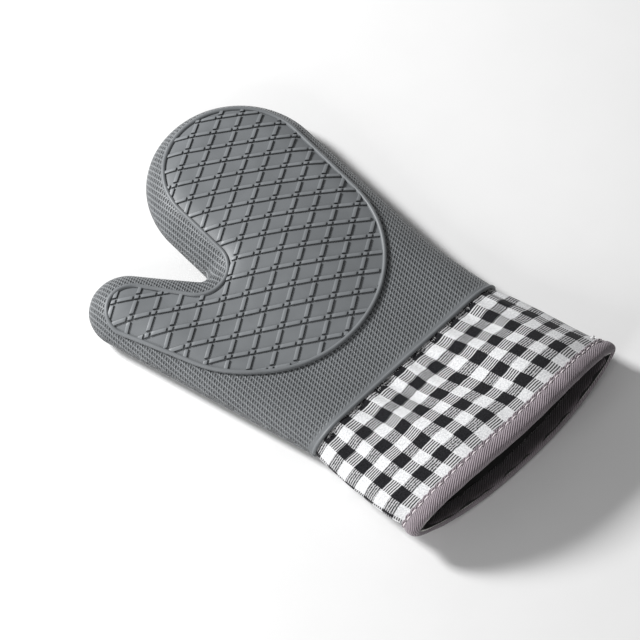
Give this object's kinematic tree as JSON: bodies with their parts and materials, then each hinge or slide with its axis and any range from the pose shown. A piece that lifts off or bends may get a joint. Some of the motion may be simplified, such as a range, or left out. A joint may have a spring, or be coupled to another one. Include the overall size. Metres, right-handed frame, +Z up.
{
  "type": "oven mitt",
  "caption": "Mitten with a moulded silicone glove and raised grip ribs, a quilted liner, a checked cotton cuff and a bound mouth, lying flat.",
  "frame": {"origin": "on the table below the middle of the mitt's box, as it lies flat on its back", "axes": "+Y from the mouth towards the fingertips, +Z up out of the palm's grip side, the thumb towards -X"},
  "size_m": [0.2074, 0.3152, 0.0494],
  "materials": {
    "silicone": "matt silicone, finely embossed outside the grip panel",
    "checked_cotton": "plain-woven cotton in 9 mm black and white checks",
    "binding_tape": "twill bias tape, mauve grey",
    "liner_cloth": "matt black cotton",
    "liner_backing": "matt dark cotton",
    "wadding": "soft polyester wadding",
    "quilting_thread": "dark polyester thread",
    "seam_thread": "overlocked seam",
    "sewing_thread": "pale cotton thread",
    "binding_thread": "pale mauve thread"
  },
  "bodies": {
    "root": {"silicone_glove": "silicone", "liner_palm_backing": "liner_backing", "liner_palm_wadding": "wadding", "liner_palm_lining": "liner_cloth", "liner_palm_quilting": "quilting_thread", "liner_back_backing": "liner_backing", "liner_back_wadding": "wadding", "liner_back_lining": "liner_cloth", "liner_back_quilting": "quilting_thread", "liner_seam": "seam_thread", "cuff_palm_panel": "checked_cotton", "cuff_back_panel": "checked_cotton", "cuff_thumb_side_seam": "seam_thread", "cuff_outer_side_seam": "seam_thread", "collar_stitching": "sewing_thread", "mouth_binding": "binding_tape", "binding_stitching": "binding_thread"}
  },
  "joints": []
}
